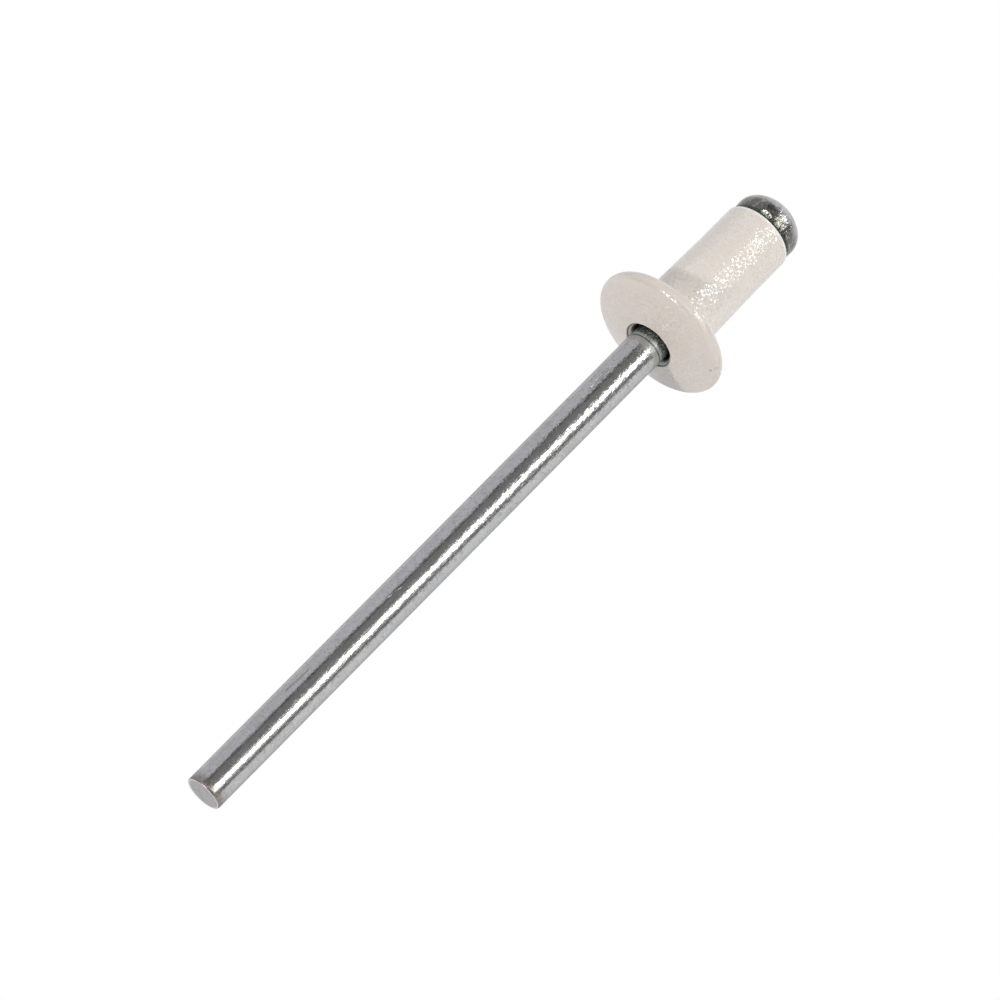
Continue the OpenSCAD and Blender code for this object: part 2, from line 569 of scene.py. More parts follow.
# %% Facets group
tree, given, result = open_group(
    "facets",
    [("Local", "vector", (0, 0, 0)), ("Normal", "vector", (0, 0, 1)), ("Size", "float", 0.1),
     ("Length", "float", 1.0), ("Tilt", "float", 0.1)],
    [("Normal", "vector")],
)
squeeze = add(tree, "ShaderNodeCombineXYZ", {0: 1.0, 1: 1.0,
              2: maths(tree, "DIVIDE", 1.0, given["Length"])})
stretched = vectors(tree, "MULTIPLY", given["Local"], squeeze.outputs[0])
per_size = maths(tree, "DIVIDE", 1.0, given["Size"])
cells = add(tree, "ShaderNodeTexVoronoi", {"Vector": stretched, "Scale": per_size})
centred = vectors(tree, "SUBTRACT", cells.outputs["Color"], (0.5, 0.5, 0.5))
random_tilt = vectors(tree, "SCALE", centred, Scale=product(tree, given["Tilt"], 2.0))
tilted = vectors(tree, "ADD", given["Normal"], random_tilt)
give(tree, result, Normal=vectors(tree, "NORMALIZE", tilted))
facets = tree

# %% [markdown]
# ## Effect: one mark
#
# A scratch or a nick sits in one place, and noise can't be told to put it there. This group
# draws one long, soft-edged spot with a given centre, direction, length and width, all in the
# rivet's own millimetres.

# %% Mark group
tree, given, result = open_group(
    "mark",
    [("Local", "vector", (0, 0, 0)), ("Centre", "vector", (0, 0, 0)),
     ("Direction", "vector", (0, 0, 1)), ("Length", "float", 1.0), ("Width", "float", 0.1)],
    [("Mask", "float")],
)
offset = vectors(tree, "SUBTRACT", given["Local"], given["Centre"])
lengthwise = vectors(tree, "DOT_PRODUCT", offset, given["Direction"])
along_part = vectors(tree, "SCALE", given["Direction"], Scale=lengthwise)
beside = vectors(tree, "DISTANCE", offset, along_part)
longways = maths(tree, "DIVIDE", lengthwise, product(tree, given["Length"], 0.5))
sideways = maths(tree, "DIVIDE", beside, product(tree, given["Width"], 0.5))
reach = maths(tree, "ADD", maths(tree, "POWER", longways, 2.0),
              maths(tree, "POWER", sideways, 2.0))
give(tree, result, Mask=ramp(tree, reach, 0.3, 1.0, 1.0, 0.0))
mark = tree

# %% [markdown]
# ## Laying finishes together
#
# A finish is a base colour with tints laid over it, and a relief that bends the normal. These
# short helpers name those steps, so that a material reads as a list of what is on the piece.
# The Principled shader stays in the material itself, and only colours, masks and normals come
# from the groups.

# %% Finish helpers


def new_material(name):
    """An empty material and its node tree."""
    material = bpy.data.materials.new(name)
    material.use_nodes = True
    material.node_tree.nodes.clear()
    return material, material.node_tree


def finish_material(material, shader):
    """Connects the shader to the material's output."""
    tree = material.node_tree
    output = tree.nodes.new("ShaderNodeOutputMaterial")
    tree.links.new(shader.outputs[0], output.inputs["Surface"])
    print("material", material.name + ":", len(tree.nodes), "nodes")


def lay_over(tree, colour, mask, share, tint):
    """Lays a tint over a colour where the mask is 1. share is how much of it shows there."""
    return mix_colour(tree, product(tree, mask, share), colour, tint)


def relief(tree, height, depth, under=None, **settings):
    """The normal of a relief that is depth millimetres deep, on top of another relief."""
    sockets = {"Height": height, "Distance": depth * MM}
    if under is not None:
        sockets["Normal"] = under
    return add(tree, "ShaderNodeBump", sockets, **settings).outputs[0]


print("finish helpers are ready")

# %% [markdown]
# ## Finish: off-white paint
#
# The paint is a semi-gloss off-white with a grainy skin, which breaks every highlight into
# small sparkles. A photo texture or a smooth noise bump could give the grain, but smooth noise
# spreads the highlight into a haze. The facets group gives each grain a tilt of its own, so
# some mirror the lamp and their neighbours don't. The tilt is weaker on the flange's rim, and
# it fades where the surface is seen edge-on, because there it would make the outline noisy.
#
# The tint drifts between warm and cool. The shank is painted a little paler than the flange,
# as painted light for the brighter light that falls on it. Dust lies all over, and extra dark
# specks in the corner under the flange are painted shade. A pale line at the tail's edge is a
# painted highlight, and a dark line at the mouth of the hole is painted shade. Single marks are
# placed one by one, and white spots on lumps near the mouth are painted glints.

# %% Paint colours and marks
PAINT = (0.80, 0.745, 0.68)
PAINT_WARM = (0.81, 0.74, 0.665)
PAINT_COOL = (0.78, 0.74, 0.695)
# Painted light: a paler paint on the shank stands in for the brighter light that falls on it.
PAINT_SHANK_LIGHT = (1.0, 0.95, 0.87)
# Painted highlight: the pale line on the tail's rounded edge.
PAINT_TAIL_HIGHLIGHT = (0.98, 0.99, 0.94)
GRAIN_DARK = (0.30, 0.28, 0.25)
STAIN_PINK = (0.62, 0.50, 0.50)
# Painted shade: the dark line in the paint's lip at the mouth of the hole.
LIP_SHADE_DARK = (0.12, 0.12, 0.11)
# Painted glints: white spots on small paint lumps near the mouth.
LUMP_GLINT_WHITE = (0.98, 0.97, 0.93)

SHANK_LIGHT_STARTS = (0.05, 0.3)
SHANK_LIGHT_SHARE = 0.37
CORNER_SHADE_STARTS = (0.1, 0.5)
CORNER_SHADE_ENDS = (1.4, 2.6)
# Painted shade: extra dark specks in the corner under the flange, on top of the dust.
CORNER_SHADE = 0.3
DUST = 0.12
TAIL_HIGHLIGHT_BAND = (SHANK_L - 0.19, SHANK_L - 0.12)
RIM_CALMER = (FLANGE_R - 0.55, FLANGE_R - 0.3)
SEEN_EDGE_ON = (0.35, 0.85)
GRAIN_TILTS = (0.23, 0.04)
LIP_SHADE_BAND = (MOUTH_R - 0.005, MOUTH_R + 0.035)

# Places are in millimetres down, to the side and along, from the flange's seat.
# centre, length, width, tint and strength
PAINT_SPOTS = [
    ((0.075, -3.222, -0.542), 0.34, 0.3, STAIN_PINK, 0.35),
    ((0.232, -2.991, -0.683), 0.19, 0.15, GRAIN_DARK, 0.75),
]
# Places and size of the painted glints on the lumps.
LUMP_GLINT_SIZE = {"Length": 0.12, "Width": 0.1}
PAINT_LUMP_GLINTS = [(-1.63, -0.863, -1.118), (-1.70, -0.80, -1.105), (-1.57, -1.01, -1.108),
               (-1.50, -0.80, -1.148), (-1.78, -0.95, -1.07)]
print("paint:", len(PAINT_SPOTS), "spots and", len(PAINT_LUMP_GLINTS), "lumps")

# %% Paint: colour
paint, tree = new_material("off-white paint")
at = placed(tree, rivet_coordinates)
local = at["Local"]
drift = placed(tree, blotches, Local=local, Size=1.1, From=0.4, To=0.62, Seed=2.0)
warmer = placed(tree, blotches, Local=local, Size=0.55, From=0.5, To=0.66, Seed=7.0)
grains = placed(tree, specks, Local=local, Spacing=0.42, Radius=0.035, Share=0.22)
dust = placed(tree, specks, Local=local, Spacing=0.15, Radius=0.05, Share=0.3)
colour = mix_colour(tree, drift["Mask"], PAINT, PAINT_COOL)
colour = lay_over(tree, colour, warmer["Mask"], 0.5, PAINT_WARM)
# Painted light: the shank is made paler than the flange, for the brighter light on it.
shank_light = ramp(tree, at["Along"], *SHANK_LIGHT_STARTS, 0.0, SHANK_LIGHT_SHARE)
colour = mix_colour(tree, shank_light, colour, PAINT_SHANK_LIGHT)
colour = lay_over(tree, colour, grains["Mask"], 0.4, GRAIN_DARK)
# Painted shade in the corner under the flange, added to the dust that lies all over.
corner_shade = product(tree, ramp(tree, at["Along"], *CORNER_SHADE_STARTS),
                    ramp(tree, at["Along"], *CORNER_SHADE_ENDS, CORNER_SHADE, 0.0))
dust_and_corner_shade = maths(tree, "ADD", corner_shade, DUST)
colour = lay_over(tree, colour, dust["Mask"], dust_and_corner_shade, GRAIN_DARK)
for centre, length, width, tint, strength in PAINT_SPOTS:
    spot = placed(tree, mark, Local=local, Centre=centre, Length=length, Width=width)
    colour = lay_over(tree, colour, spot["Mask"], strength, tint)

# Painted shade: the paint's lip darkens where it turns into the hole.
lip_shade = product(tree, ramp(tree, at["Out"], *LIP_SHADE_BAND, 0.85, 0.0),
                    ramp(tree, at["Along"], 0.0, 0.1, 1.0, 0.0))
colour = mix_colour(tree, lip_shade, colour, LIP_SHADE_DARK)
# Painted highlight along the tail's edge.
colour = lay_over(tree, colour, ramp(tree, at["Along"], *TAIL_HIGHLIGHT_BAND), 0.85, PAINT_TAIL_HIGHLIGHT)
# Painted glints on the lumps near the mouth, as white colour.
for centre in PAINT_LUMP_GLINTS:
    lump_glint = placed(tree, mark, Local=local, Centre=centre, **LUMP_GLINT_SIZE)
    colour = mix_colour(tree, lump_glint["Mask"], colour, LUMP_GLINT_WHITE)
print("paint so far:", len(tree.nodes), "nodes")

# %% Paint: surface
swell = placed(tree, blotches, Local=local, Size=0.42, Seed=11.0, Detail=1.0)
edge_on = add(tree, "ShaderNodeLayerWeight", {"Blend": 0.5}).outputs["Facing"]
grain_tilt = product(tree, ramp(tree, edge_on, *SEEN_EDGE_ON, *GRAIN_TILTS),
                     ramp(tree, at["Out"], *RIM_CALMER, 1.0, 0.4))
skin = placed(tree, facets, Local=local, Normal=relief(tree, swell["Height"], 0.008),
              Size=0.064, Tilt=grain_tilt)
shader = add(tree, "ShaderNodeBsdfPrincipled", {"Base Color": colour, "Roughness": 0.12,
             "IOR": 1.75, "Normal": skin["Normal"]})
finish_material(paint, shader)

# %% [markdown]
# ## Finish: bare aluminium
#
# The drill left the hole bare and the paint missed it. The wall is dull and a little dirty,
# with rings from the tool. Grooves could be cut in the mesh, but they are finer than a pixel.
# So noise bends the normal instead, and it changes fast along the axis and slowly round it.
# Two thin lines sit where the paint ends: a painted highlight on the flare's edge, and a dark
# seam of painted shade outside it.

# %% Bare metal material
BORE_GREY = (0.42, 0.43, 0.41)
BORE_DIRT = (0.16, 0.17, 0.155)
# Painted highlight: the bright line on the flare's edge.
FLARE_EDGE_HIGHLIGHT = (0.86, 0.86, 0.84)
# Painted shade: the dark seam just inside the paint's edge.
FLARE_SEAM_SHADE = (0.10, 0.10, 0.09)
RING_SCALES = (0.3, 9.0, 9.0)
EDGE_HIGHLIGHT_FROM = (MOUTH_R - 0.13, MOUTH_R - 0.10)
EDGE_HIGHLIGHT_TO = (MOUTH_R - 0.045, MOUTH_R - 0.025)
SEAM_SHADE_FROM = (MOUTH_R - 0.04, MOUTH_R - 0.02)

bare_metal, tree = new_material("bare aluminium")
at = placed(tree, rivet_coordinates)
unrolled = add(tree, "ShaderNodeCombineXYZ", {0: at["Turn"], 1: at["Out"], 2: at["Along"]})
rings = vectors(tree, "MULTIPLY", unrolled.outputs[0], RING_SCALES)
tool_marks = add(tree, "ShaderNodeTexNoise", {"Vector": rings, "Scale": 1.5, "Detail": 4.0})
dirt = placed(tree, blotches, Local=at["Local"], Size=0.16, From=0.42, To=0.6, Seed=4.0)
colour = mix_colour(tree, dirt["Mask"], BORE_GREY, BORE_DIRT)
# Painted highlight on the flare's edge, also less metallic there.
edge_highlight = product(tree, ramp(tree, at["Out"], *EDGE_HIGHLIGHT_FROM),
                    ramp(tree, at["Out"], *EDGE_HIGHLIGHT_TO, 1.0, 0.0))
colour = mix_colour(tree, edge_highlight, colour, FLARE_EDGE_HIGHLIGHT)
# Painted shade in the seam where the paint ends.
colour = mix_colour(tree, ramp(tree, at["Out"], *SEAM_SHADE_FROM), colour, FLARE_SEAM_SHADE)
shader = add(tree, "ShaderNodeBsdfPrincipled", {"Base Color": colour,
             "Metallic": maths(tree, "SUBTRACT", 1.0, product(tree, edge_highlight, 0.8)),
             "Roughness": ramp(tree, dirt["Height"], 0.3, 0.7, 0.28, 0.5),
             "Normal": relief(tree, tool_marks.outputs["Fac"], 0.012)})
finish_material(bare_metal, shader)

# %% [markdown]
# ## Finish: drawn steel
#
# Bright drawn wire mirrors long strips of the studio. An anisotropic shader would smear them
# along the wire evenly. Real strips have uneven edges, so score lines and fine facets bend the
# normal here instead, less near the tip, where the wire is smoother. Small crystals and dull
# spots give the grey parts their grain.
#
# Three places are darker: the cut end, which the shear burnt brown, a dulled zone in front of
# the body, and a speckled band with a sharp front where the wire enters it. That band is a
# painted reflection of the hole's inside: a dark line, the flare's mirrored bright edge, then
# the dark bore.

# %% Steel colours and marks


def on_wire(turn, along):
    """A place on the wire's skin in the rivet's millimetres, with turn in degrees."""
    a = math.radians(turn)
    return (STEM_R * math.cos(a), STEM_R * math.sin(a), along)


def between(start, end):
    """Centre, unit direction and length of a mark that runs from one place to another."""
    start, end = Vector(start), Vector(end)
    return tuple((start + end) / 2), tuple((end - start).normalized()), (end - start).length


STEEL = (0.60, 0.605, 0.61)
STEEL_SHADE = (0.46, 0.465, 0.47)
STEEL_WARM = (0.56, 0.55, 0.51)
STEEL_BRIGHT = (0.72, 0.72, 0.72)
STEEL_DULLED = (0.44, 0.47, 0.44)
STEEL_SCRATCH = (0.30, 0.29, 0.26)
STEEL_EDGE_TINT = (0.65, 0.65, 0.67, 1)
SHEAR_BURN = (0.22, 0.19, 0.15)
# Painted reflection: the wire's band at the hole mirrors the hole's inside.
MOUTH_REFLECTION_DARK = (0.14, 0.155, 0.14)
MOUTH_REFLECTION_LIGHT = (0.40, 0.44, 0.40)
MOUTH_REFLECTED_FLARE = (0.55, 0.60, 0.56)
MOUTH_REFLECTION_GLINT = (0.85, 0.87, 0.83)
MOUTH_REFLECTED_LIP_LINE = (0.10, 0.11, 0.10)

# Front of the painted reflection on the wire, in front of the mouth.
REFLECTION_FRONT = MOUTH_Z - 0.38
DULLED_FROM = (REFLECTION_FRONT - 0.36, REFLECTION_FRONT - 0.2)
BURN_RAGGED = 1.6
BURN_BACK = 0.72
BURN_FADES = (0.1, 0.8)
FRONT_RAGGED = 0.05
ROUGHER_WIRE = (-27.0, -7.0)

# start, end and width
WIRE_MARKS = [
    (on_wire(176, -5.4), on_wire(-176, -4.0), 0.07),
    (on_wire(171, -5.0), on_wire(-179, -3.5), 0.06),
    (on_wire(166, -4.6), on_wire(174, -3.7), 0.05),
    (on_wire(-112, -3.85), on_wire(-96, -3.75), 0.06),
    (on_wire(-171, -20.0), on_wire(-164, -19.1), 0.08),
    (on_wire(165, -26.9), on_wire(173, -25.0), 0.12),
]
print("steel: stain front at", round(REFLECTION_FRONT, 3), "mm,", len(WIRE_MARKS), "marks")

# %% Drawn steel: colour
drawn_steel, tree = new_material("drawn steel")
at = placed(tree, rivet_coordinates)
local = at["Local"]
fine = placed(tree, drawn_streaks, Local=local, Width=0.06, Length=1.2, Seed=1.0)
broad = placed(tree, drawn_streaks, Local=local, Width=0.22, Length=0.9, Seed=3.0)
rolled = placed(tree, drawn_streaks, Local=local, Width=0.1, Length=0.2, Seed=8.0)
crystal = placed(tree, blotches, Local=local, Size=0.07, From=0.5, To=0.66, Seed=15.0)
dull = placed(tree, blotches, Local=local, Size=0.11, From=0.5, To=0.66, Seed=16.0)
cloud = placed(tree, blotches, Local=local, Size=1.3, From=0.42, To=0.62, Seed=6.0)
warm = placed(tree, blotches, Local=local, Size=0.8, From=0.5, To=0.66, Seed=14.0)
colour = lay_over(tree, STEEL, cloud["Mask"], 0.3, STEEL_SHADE)
colour = lay_over(tree, colour, warm["Mask"], 0.6, STEEL_WARM)
colour = lay_over(tree, colour, crystal["Mask"], 0.8, STEEL_BRIGHT)
colour = lay_over(tree, colour, dull["Mask"], 0.9, STEEL_SHADE)

slope = math.tan(TIP_CUT)
across_tip = (math.cos(TIP_LONGEST) * slope, math.sin(TIP_LONGEST) * slope, 1)
from_tip = maths(tree, "SUBTRACT", vectors(tree, "DOT_PRODUCT", local, across_tip), TIP_Z)
from_tip = maths(tree, "ADD", from_tip, product(tree, dull["Height"], BURN_RAGGED))
from_tip = maths(tree, "SUBTRACT", from_tip, BURN_BACK)
burnt = ramp(tree, from_tip, *BURN_FADES, 0.75, 0.0)
colour = mix_colour(tree, burnt, colour, SHEAR_BURN)

scratches = None
for start, end, width in WIRE_MARKS:
    centre, heading, length = between(start, end)
    one = placed(tree, mark, Local=local, Centre=centre, Direction=heading,
                 Length=length, Width=width)["Mask"]
    scratches = one if scratches is None else maths(tree, "MAXIMUM", scratches, one)
colour = lay_over(tree, colour, scratches, 0.55, STEEL_SCRATCH)
print("drawn steel so far:", len(tree.nodes), "nodes")

# %% Drawn steel: painted reflection at the mouth
# Painted reflection of the hole's inside on the wire.
ragged_along = maths(tree, "ADD", at["Along"], product(tree, rolled["Height"], FRONT_RAGGED))
dulled = ramp(tree, ragged_along, *DULLED_FROM)
colour = lay_over(tree, colour, dulled, 0.6, STEEL_DULLED)
reflection_band = ramp(tree, ragged_along, REFLECTION_FRONT, REFLECTION_FRONT + 0.04)
past_front = maths(tree, "SUBTRACT", ragged_along, REFLECTION_FRONT)
reflection_speckle = placed(tree, blotches, Local=local, Size=0.11, From=0.47, To=0.55, Seed=21.0)
reflection_glints = placed(tree, specks, Local=local, Spacing=0.13, Radius=0.05, Share=0.25)
reflected_flare = product(tree, ramp(tree, past_front, 0.06, 0.12),
                 ramp(tree, past_front, 0.16, 0.3, 1.0, 0.0))
mouth_reflection = mix_colour(tree, reflection_speckle["Mask"], MOUTH_REFLECTION_DARK, MOUTH_REFLECTION_LIGHT)
mouth_reflection = mix_colour(tree, reflected_flare, mouth_reflection, MOUTH_REFLECTED_FLARE)
mouth_reflection = mix_colour(tree, reflection_glints["Mask"], mouth_reflection, MOUTH_REFLECTION_GLINT)
mouth_reflection = mix_colour(tree, ramp(tree, past_front, 0.05, 0.09, 1.0, 0.0), mouth_reflection, MOUTH_REFLECTED_LIP_LINE)
colour = mix_colour(tree, reflection_band, colour, mouth_reflection)
print("with the stain:", len(tree.nodes), "nodes")

# %% Drawn steel: surface
normal = relief(tree, broad["Height"], 0.005)
normal = relief(tree, fine["Height"], 0.003, normal)
normal = relief(tree, rolled["Height"], 0.008, normal)
normal = relief(tree, scratches, 0.02, normal, invert=True)
skin = placed(tree, facets, Local=local, Normal=normal, Size=0.065, Length=1.8,
              Tilt=ramp(tree, at["Along"], *ROUGHER_WIRE, 0.012, 0.05))
dulled_or_burnt = maths(tree, "MAXIMUM", dulled, burnt)
roughness = ramp(tree, fine["Height"], 0.3, 0.7, 0.12, 0.2)
roughness = maths(tree, "ADD", roughness, product(tree, dulled_or_burnt, 0.24))
roughness = maths(tree, "ADD", roughness, product(tree, dull["Mask"], 0.16))
shader = add(tree, "ShaderNodeBsdfPrincipled", {"Base Color": colour, "Metallic": 1.0,
             "Roughness": roughness, "Specular Tint": STEEL_EDGE_TINT,
             "Normal": skin["Normal"]})
finish_material(drawn_steel, shader)

# %% [markdown]
# ## Finish: upset head
#
# Upsetting folds and darkens the skin of the wire. The head is glossy but blotchy: dark oxide
# low on its side, and brighter metal on the crown, where the die rubbed it. The die also left
# a small flat, which catches the softbox as a glint of its own. A dent in the mesh would have
# to be very exact for that, so the flat is a mark that leans the normal instead.

# %% Head material
HEAD_DARK = (0.19, 0.185, 0.17)
HEAD_CROWN = (0.54, 0.53, 0.545)
HEAD_WORN = (0.66, 0.66, 0.66)
# Painted shade: a dark line on the head where it meets the body's end.
HEAD_SEAM_SHADE = (0.09, 0.10, 0.085)
CROWN_RAGGED = 0.9
CROWN_FROM = (SHANK_L + 1.0, SHANK_L + 1.35)
SEAM_SHADE_FADES = (SHANK_L + 0.16, SHANK_L + 0.27)
FLAT_CENTRE = (-1.55, -0.386, 6.87)
FLAT_HEADING = (0.235, -0.972, 0.0)
FLAT_LEAN = (DOWN * 0.276 - SIDE * 0.961) * 0.54

head_steel, tree = new_material("upset head steel")
at = placed(tree, rivet_coordinates)
local = at["Local"]
oxide = placed(tree, blotches, Local=local, Size=0.5, From=0.45, To=0.57, Seed=9.0, Warp=0.5)
worn = placed(tree, blotches, Local=local, Size=0.2, From=0.5, To=0.62, Seed=17.0)
pits = placed(tree, specks, Local=local, Spacing=0.16, Radius=0.05, Share=0.3)
flat = placed(tree, mark, Local=local, Centre=FLAT_CENTRE, Direction=FLAT_HEADING,
              Length=0.85, Width=0.36)
height_on_head = maths(tree, "ADD", at["Along"], product(tree, oxide["Height"], CROWN_RAGGED))
colour = mix_colour(tree, ramp(tree, height_on_head, *CROWN_FROM), HEAD_DARK, HEAD_CROWN)
colour = lay_over(tree, colour, oxide["Mask"], 0.4, HEAD_DARK)
colour = lay_over(tree, colour, worn["Mask"], 0.35, HEAD_WORN)
colour = lay_over(tree, colour, pits["Mask"], 0.5, HEAD_DARK)
# Painted shade at the foot of the head, next to the body's end.
colour = mix_colour(tree, ramp(tree, at["Along"], *SEAM_SHADE_FADES, 1.0, 0.0), colour, HEAD_SEAM_SHADE)

normal = relief(tree, worn["Height"], 0.04, relief(tree, oxide["Height"], 0.07))
leaning = vectors(tree, "SCALE", tuple(FLAT_LEAN), Scale=flat["Mask"])
normal = vectors(tree, "NORMALIZE", vectors(tree, "ADD", normal, leaning))
skin = placed(tree, facets, Local=local, Normal=normal, Size=0.07, Tilt=0.05)
shader = add(tree, "ShaderNodeBsdfPrincipled", {"Base Color": colour, "Metallic": 1.0,
             "Roughness": ramp(tree, worn["Height"], 0.3, 0.7, 0.12, 0.26),
             "Normal": skin["Normal"]})
finish_material(head_steel, shader)

# %% [markdown]
# ## Finish: sheared face
#
# The shear leaves a flat, matt, slightly torn face with a thin bright burr round it. The
# tearing could be modelled, but it is only seen as grain, so the normal carries it. The facets
# tilt more than the wire's and the roughness is higher, so the face is matt from every side.

# %% Sheared face material
SHEARED_PALE = (0.48, 0.485, 0.50)
SHEARED_TORN = (0.42, 0.425, 0.435)
SHEARED_SCORED = (0.42, 0.40, 0.37)
SHEARED_BURR = (0.68, 0.66, 0.64)
BURR_FROM = (STEM_R - 0.14, STEM_R - 0.07)

sheared_steel, tree = new_material("sheared steel")
at = placed(tree, rivet_coordinates)
local = at["Local"]
torn = placed(tree, blotches, Local=local, Size=0.25, From=0.4, To=0.65, Seed=12.0, Warp=0.4)
scored = placed(tree, blotches, Local=local, Size=0.07, From=0.5, To=0.62, Seed=13.0)
colour = mix_colour(tree, torn["Mask"], SHEARED_PALE, SHEARED_TORN)
colour = lay_over(tree, colour, scored["Mask"], 0.4, SHEARED_SCORED)
colour = mix_colour(tree, ramp(tree, at["Out"], *BURR_FROM), colour, SHEARED_BURR)
normal = relief(tree, scored["Height"], 0.01, relief(tree, torn["Height"], 0.03))
skin = placed(tree, facets, Local=local, Normal=normal, Size=0.07, Tilt=0.16)
shader = add(tree, "ShaderNodeBsdfPrincipled", {"Base Color": colour, "Metallic": 1.0,
             "Roughness": 0.38, "Normal": skin["Normal"]})
finish_material(sheared_steel, shader)

# %% [markdown]
# ## Putting the finishes on
#
# The rings already say which material each band has, by its number in the mesh's list. So the
# lists are filled in the same order as those numbers.

# %% Put the finishes on
for material in (paint, bare_metal):
    painted_body.data.materials.append(material)
for material in (drawn_steel, head_steel, sheared_steel):
    steel_mandrel.data.materials.append(material)
print("materials:", [m.name for m in bpy.data.materials if m.users])

# %% [markdown]
# ## Floor
#
# A plain white floor. A lamp could light it until it is white, but that would burn out the
# rivet too. Instead the camera sees it glow at a strength of 1, so the ground of the picture
# is pure white. Mirrors in the metal see that glow mixed with the lit floor. The light that
# bounces off it is the lit floor's alone, so the rivet's shadow still darkens its underside.

# %% Floor
FLOOR_SIZE = 1.2
FLOOR_COLOUR = (0.79, 0.80, 0.82, 1)
WHITE = (1, 1, 1, 1)
SEEN_WHITE = 1.0
MIRRORED_WHITE = 0.62

half = FLOOR_SIZE / 2
floor_corners = [(-half, -half, 0), (half, -half, 0), (half, half, 0), (-half, half, 0)]
floor_mesh = bpy.data.meshes.new("floor")
floor_mesh.from_pydata(floor_corners, [], [(0, 1, 2, 3)])
floor = bpy.data.objects.new("floor", floor_mesh)
bpy.context.scene.collection.objects.link(floor)

white_floor, tree = new_material("white floor")
path = add(tree, "ShaderNodeLightPath").outputs
seen = maths(tree, "ADD", path["Is Camera Ray"], path["Is Transmission Ray"], clamp=True)
seen = product(tree, seen, SEEN_WHITE)
mirrored = product(tree, path["Is Glossy Ray"], MIRRORED_WHITE)
share = maths(tree, "ADD", seen, mirrored, clamp=True)
matt = add(tree, "ShaderNodeBsdfDiffuse", {"Color": FLOOR_COLOUR})
glow = add(tree, "ShaderNodeEmission", {"Color": WHITE, "Strength": 1.0})
blend = add(tree, "ShaderNodeMixShader", {0: share, 1: matt.outputs[0], 2: glow.outputs[0]})
finish_material(white_floor, blend)
floor_mesh.materials.append(white_floor)

# %% [markdown]
# ## Studio directions
#
# The wire is a curved mirror, so its look is the studio's look. Each line along the wire
# mirrors one direction round the rivet's axis. It is therefore simplest to place everything by
# two angles: how far round the axis from the camera's side, and how far it leans towards the
# head or the tip.

# %% Studio directions
CAMERA_SIDE = Vector((-0.5469, -0.4261, 0.7206)).normalized()
NEAR = (CAMERA_SIDE - AXIS * CAMERA_SIDE.dot(AXIS)).normalized()
LEFT = NEAR.cross(AXIS).normalized()
if LEFT.y < 0:
    LEFT = -LEFT


def round_axis(degrees, lean):
    """Direction at that angle round the axis from the camera's side, leaning from the tip
    (-90) through square to the axis (0) to the head (90)."""
    a, b = math.radians(degrees), math.radians(lean)
    ring = NEAR * math.cos(a) + LEFT * math.sin(a)
    return (ring * math.cos(b) + AXIS * math.sin(b)).normalized()


print("near", [round(v, 3) for v in NEAR], "left", [round(v, 3) for v in LEFT])

# %% [markdown]
# ## Lamps
#
# A long softbox gives the bright line on the wire and, with a brighter tube inside it, the
# sparkles along the shank. A weak fill lifts the shadow side. A thin lamp in front draws the
# bright line on the flange's rim. A small key lamp at the stem's end gives the flange its
# shadow on the shank, and the stem its shadow on the flange.

# %% Lamps
AIM_ALONG = -10
AIM = SEAT + AXIS * AIM_ALONG * MM
UPRIGHT = Vector((0, 0, 1))
SOFTBOX_COLOUR = (1.0, 0.99, 0.91)
KEY_COLOUR = (1.0, 0.95, 0.88)
PLAIN_COLOUR = (1.0, 1.0, 1.0)
SOFTBOX_SIDE = round_axis(-25, 30)
RIM_LAMP_SIDE = Vector((-0.965, 0.02, 0.17))
RIM_LAMP_LONG = Vector((0, 0.97, 0.22))

# name, side, metres away, metres wide and long, watts, direction of the long side, colour
LAMPS = [
    ("strip softbox", SOFTBOX_SIDE, 0.3, (0.07, 0.3), 0.088, AXIS, SOFTBOX_COLOUR),
    ("tube in the softbox", SOFTBOX_SIDE, 0.29, (0.036, 0.26), 0.235, AXIS, SOFTBOX_COLOUR),
    ("fill softbox", round_axis(-56, -3), 0.3, (0.12, 0.12), 0.05, AXIS, PLAIN_COLOUR),
    ("rim lamp", RIM_LAMP_SIDE, 0.4, (0.012, 0.3), 0.13, RIM_LAMP_LONG, PLAIN_COLOUR),
    ("key lamp", round_axis(41, -53), 0.4, (0.03, 0.03), 0.62, UPRIGHT, KEY_COLOUR),
]


def area_lamp(name, side, away, size, watts, long_side, colour):
    """A rectangular lamp that faces the rivet."""
    lamp = bpy.data.lights.new(name, "AREA")
    lamp.shape = "RECTANGLE"
    lamp.size, lamp.size_y = size
    lamp.energy = watts
    lamp.color = colour
    holder = bpy.data.objects.new(name, lamp)
    bpy.context.scene.collection.objects.link(holder)
    facing = side.normalized()
    up = (long_side - facing * long_side.dot(facing)).normalized()
    turn = Matrix((up.cross(facing), up, facing)).transposed().to_4x4()
    holder.matrix_world = Matrix.Translation(AIM + facing * away) @ turn
    holder.visible_camera = False


for lamp_row in LAMPS:
    area_lamp(*lamp_row)
print("lamps:", [lamp_row[0] for lamp_row in LAMPS])

# %% [markdown]
# ## Dark card
#
# Bright metal on a white floor loses its edge. A photographer puts a dark card beside it, so
# that the side of the metal mirrors something grey. The card stands beside the rivet, and the
# camera doesn't see it.

# %% Dark card
CARD_Y = -55
CARD_HIGH = 14
CARD_LEFT, CARD_RIGHT = -30, 110
CARD_COLOUR = (0.3, 0.3, 0.29, 1)

